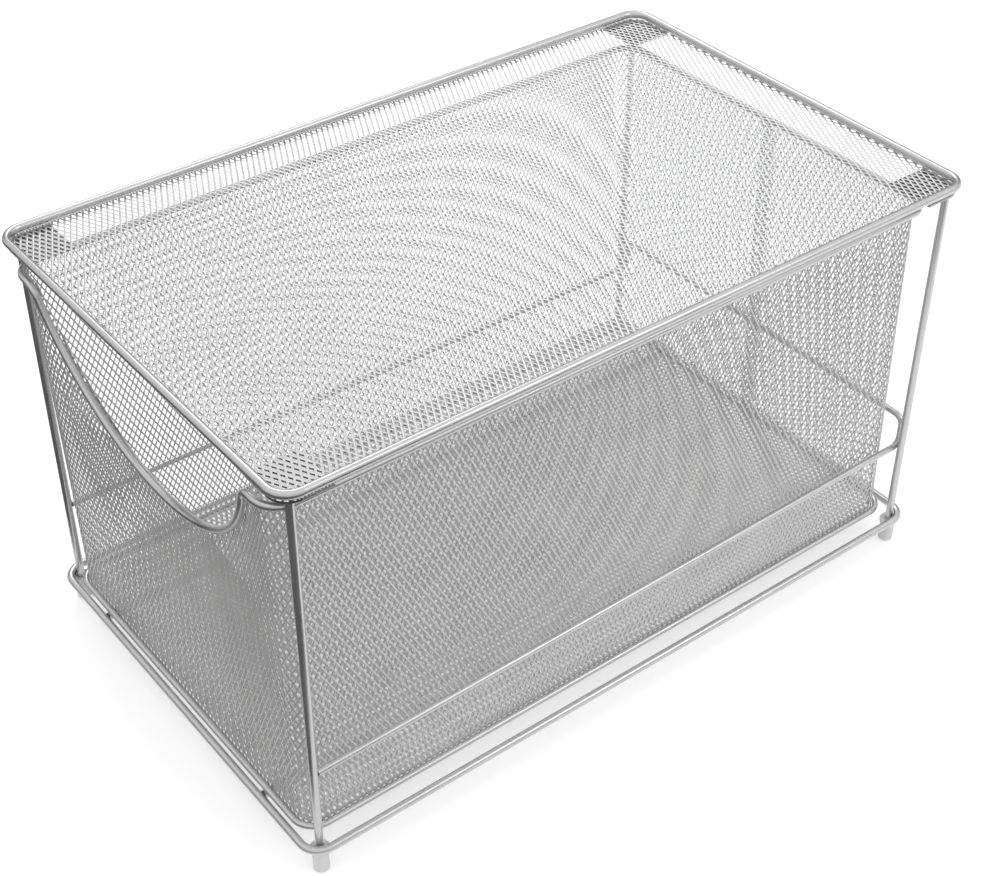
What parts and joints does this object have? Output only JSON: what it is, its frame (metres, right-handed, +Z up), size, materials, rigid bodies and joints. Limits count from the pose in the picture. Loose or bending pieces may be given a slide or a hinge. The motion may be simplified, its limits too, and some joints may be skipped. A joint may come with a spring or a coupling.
{
  "type": "pull-out cabinet basket",
  "caption": "Free-standing wire frame with a perforated top on capped feet, holding a mesh drawer with a scooped front that slides out.",
  "frame": {"origin": "on the supporting surface under the middle of the frame", "axes": "+Z up, -Y towards the front, the way the drawer comes out, +X to the right seen from the front"},
  "size_m": [0.2444, 0.3938, 0.2286],
  "materials": {
    "frame_wire": "satin silver-grey coating",
    "frame_mesh": "satin silver-grey coating",
    "corner_plate": "satin silver-grey coating",
    "drawer_wire": "satin silver-grey coating",
    "drawer_mesh": "satin silver-grey coating",
    "foot_cap": "translucent white"
  },
  "bodies": {
    "frame": {"top_loop": "frame_wire", "top_mesh": "frame_mesh", "corner_plate_front_left": "corner_plate", "corner_plate_front_right": "corner_plate", "corner_plate_back_left": "corner_plate", "corner_plate_back_right": "corner_plate", "upright_front_left": "frame_wire", "upright_front_right": "frame_wire", "upright_back_left": "frame_wire", "upright_back_right": "frame_wire", "bottom_loop": "frame_wire", "slide_rail_left": "frame_wire", "slide_rail_right": "frame_wire", "guard_rail": "frame_wire", "foot_front_left": "foot_cap", "foot_front_right": "foot_cap", "foot_back_left": "foot_cap", "foot_back_right": "foot_cap"},
    "drawer": {"rim_wire": "drawer_wire", "floor_wire": "drawer_wire", "front_mesh": "drawer_mesh", "back_mesh": "drawer_mesh", "left_mesh": "drawer_mesh", "right_mesh": "drawer_mesh", "floor_mesh": "drawer_mesh"}
  },
  "joints": [
    {"name": "drawer_slide", "type": "slide", "parent": "frame", "child": "drawer", "axis": [0, -1, 0], "range_m": [0, 0.33]}
  ]
}
